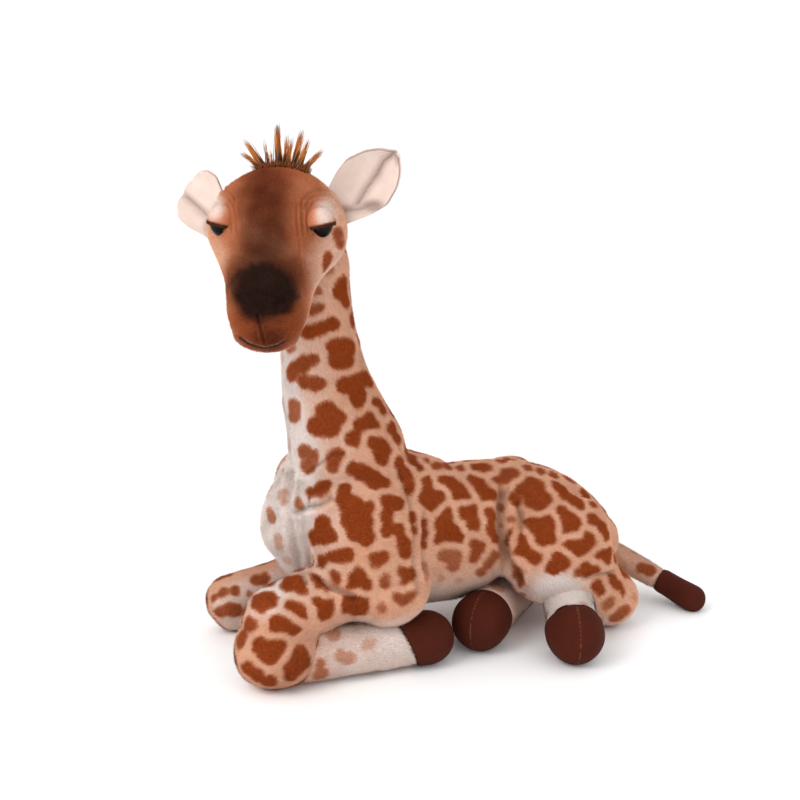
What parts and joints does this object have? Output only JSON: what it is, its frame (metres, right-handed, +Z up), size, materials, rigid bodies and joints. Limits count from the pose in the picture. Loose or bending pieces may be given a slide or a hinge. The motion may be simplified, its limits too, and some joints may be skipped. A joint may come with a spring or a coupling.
{
  "type": "plush giraffe",
  "caption": "Stuffed giraffe lying with folded legs and its head turned, sewn skins over fibre filling, with soft-jointed head, ears, legs and tail.",
  "frame": {"origin": "bottom centre of the whole toy's bounding box, on the ground it lies on", "axes": "+Z up, -Y the way the toy's body faces, +X to the toy's left, the side its head and both hind hooves are turned to"},
  "size_m": [0.225, 0.4278, 0.4298],
  "materials": {
    "coat_cloth": "short pile plush, tan net over rusty brown patches",
    "face_cloth": "short pile plush, dark brown to tan",
    "ear_cloth": "short pile plush",
    "ear_velvet": "pale velvet",
    "lid_cloth": "short pile plush",
    "leg_cloth": "short pile plush, cream with faint spots",
    "hoof_velvet": "dark brown velvet",
    "fibre": "loose white polyester fibre",
    "hair": "long pile tuft",
    "thread": "dark sewing thread",
    "eye_plastic": "polished black",
    "washer_plastic": "natural moulded"
  },
  "bodies": {
    "trunk": {"torso_skin": "coat_cloth", "torso_filling": "fibre", "neck_skin": "coat_cloth", "neck_filling": "fibre", "foreleg_left_skin": "coat_cloth", "foreleg_left_filling": "fibre", "haunch_left_skin": "coat_cloth", "haunch_left_filling": "fibre", "foreleg_right_skin": "coat_cloth", "foreleg_right_filling": "fibre", "haunch_right_skin": "coat_cloth", "haunch_right_filling": "fibre"},
    "head": {"head_skin": "face_cloth", "head_filling": "fibre", "eye_left": "eye_plastic", "eye_left_washer": "washer_plastic", "eyelid_left": "lid_cloth", "eye_right": "eye_plastic", "eye_right_washer": "washer_plastic", "eyelid_right": "lid_cloth", "tuft": "hair", "mouth_thread": "thread"},
    "ear_left": {"ear_left_back": "ear_cloth", "ear_left_lining": "ear_velvet"},
    "ear_right": {"ear_right_back": "ear_cloth", "ear_right_lining": "ear_velvet"},
    "shank_left": {"shank_left_skin": "leg_cloth", "shank_left_filling": "fibre", "hoof_front_left": "hoof_velvet"},
    "shank_right": {"shank_right_skin": "leg_cloth", "shank_right_filling": "fibre", "hoof_front_right": "hoof_velvet"},
    "hind_leg_left": {"hind_leg_left_skin": "leg_cloth", "hind_leg_left_filling": "fibre", "hoof_hind_left": "hoof_velvet"},
    "hind_leg_right": {"hind_leg_right_skin": "leg_cloth", "hind_leg_right_filling": "fibre", "hoof_hind_right": "hoof_velvet"},
    "tail": {"tail_skin": "coat_cloth", "tail_filling": "fibre", "tail_tip": "hoof_velvet"}
  },
  "joints": [
    {"name": "head_turn", "type": "hinge", "parent": "trunk", "child": "head", "pos_m": [-0.02165, -0.12141, 0.32], "axis": [0, 0, 1], "range_deg": [-20, 20], "stiffness_Nm_per_rad": 0.15},
    {"name": "ear_left_flap", "type": "hinge", "parent": "head", "child": "ear_left", "pos_m": [-0.00136, -0.1114, 0.36263], "axis": [0, 0, 1], "range_deg": [-15, 15], "stiffness_Nm_per_rad": 0.003},
    {"name": "ear_right_flap", "type": "hinge", "parent": "head", "child": "ear_right", "pos_m": [-0.04156, -0.185, 0.34705], "axis": [0, 0, 1], "range_deg": [-15, 15], "stiffness_Nm_per_rad": 0.003},
    {"name": "shank_left_swing", "type": "hinge", "parent": "trunk", "child": "shank_left", "pos_m": [0.03535, -0.18001, 0.0305], "axis": [0, 0, 1], "range_deg": [-16, 0], "stiffness_Nm_per_rad": 0.12},
    {"name": "shank_right_swing", "type": "hinge", "parent": "trunk", "child": "shank_right", "pos_m": [-0.07865, -0.17701, 0.0175], "axis": [0, 0, 1], "range_deg": [-5, 0], "stiffness_Nm_per_rad": 0.12},
    {"name": "hind_leg_left_swing", "type": "hinge", "parent": "trunk", "child": "hind_leg_left", "pos_m": [0.02635, 0.07999, 0.052], "axis": [0, 0, 1], "range_deg": [-6, 6], "stiffness_Nm_per_rad": 0.12},
    {"name": "hind_leg_right_swing", "type": "hinge", "parent": "trunk", "child": "hind_leg_right", "pos_m": [-0.05165, 0.08799, 0.0235], "axis": [0, 0, 1], "range_deg": [0, 6], "stiffness_Nm_per_rad": 0.12},
    {"name": "tail_swing", "type": "hinge", "parent": "trunk", "child": "tail", "pos_m": [-0.02165, 0.13399, 0.05], "axis": [0, 0, 1], "range_deg": [0, 30], "stiffness_Nm_per_rad": 0.01}
  ]
}
